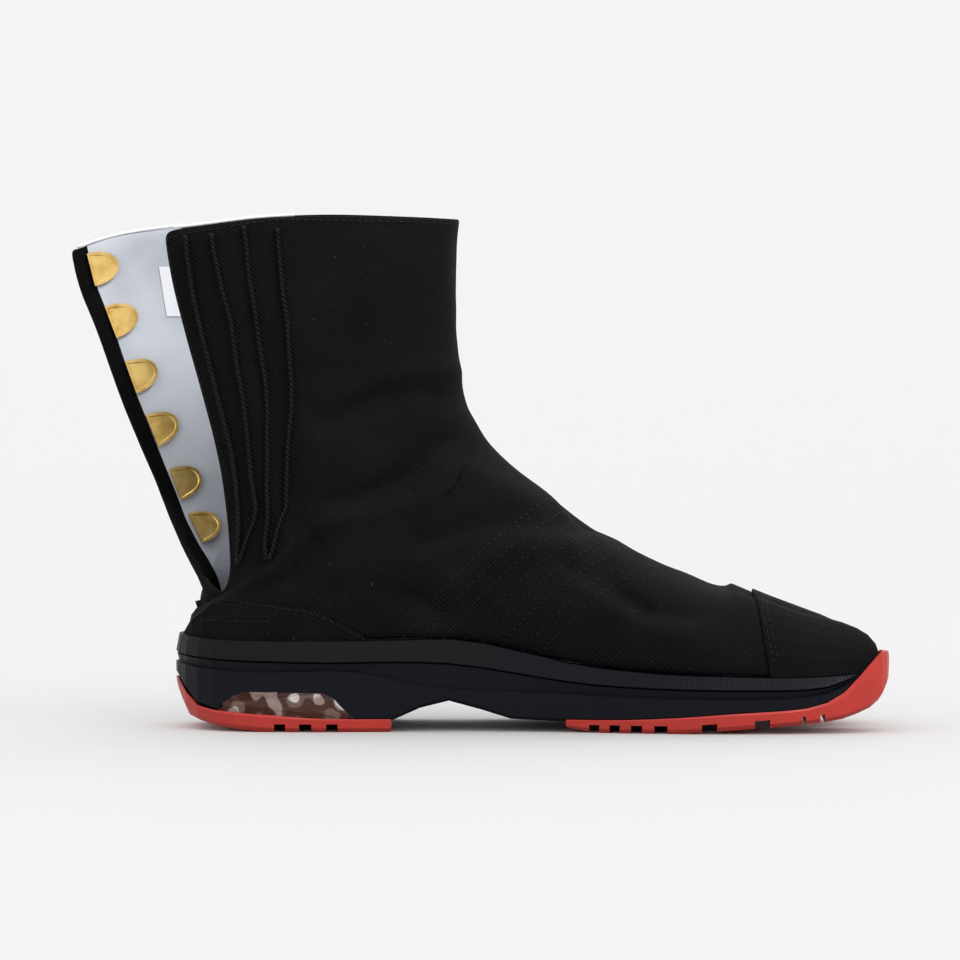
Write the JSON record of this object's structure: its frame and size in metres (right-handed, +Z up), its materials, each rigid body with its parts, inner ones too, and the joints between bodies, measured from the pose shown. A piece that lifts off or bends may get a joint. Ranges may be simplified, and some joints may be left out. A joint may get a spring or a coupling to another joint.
{
  "type": "jika tabi",
  "caption": "Left split-toe work boot: twill upper open at the back with a clasp flap, air-cushion midsole with a heel window, rubber treads.",
  "frame": {"origin": "on the floor under the heel's flat tread", "axes": "+X towards the toes, +Y towards the lateral side, +Z up"},
  "size_m": [0.3276, 0.097, 0.2046],
  "materials": {
    "twill": "black cotton twill",
    "cord": "twisted black cord",
    "brass": "stamped, satin",
    "insole": "grey cloth",
    "moulded": "moulded, fine ribs",
    "clear": "clear soft plastic",
    "red_rubber": "moulded, satin"
  },
  "bodies": {
    "root": {"outsole_heel": "red_rubber", "outsole_forefoot": "red_rubber", "midsole": "moulded", "air_cell": "clear", "insole": "insole", "upper": "twill", "toe_cap_big": "twill", "toe_cap_small": "twill", "heel_counter": "twill", "loop_cord_rear": "cord", "loop_cord_front": "cord", "clasp_1": "brass", "clasp_2": "brass", "clasp_3": "brass", "clasp_4": "brass", "clasp_5": "brass", "clasp_6": "brass"}
  },
  "joints": []
}
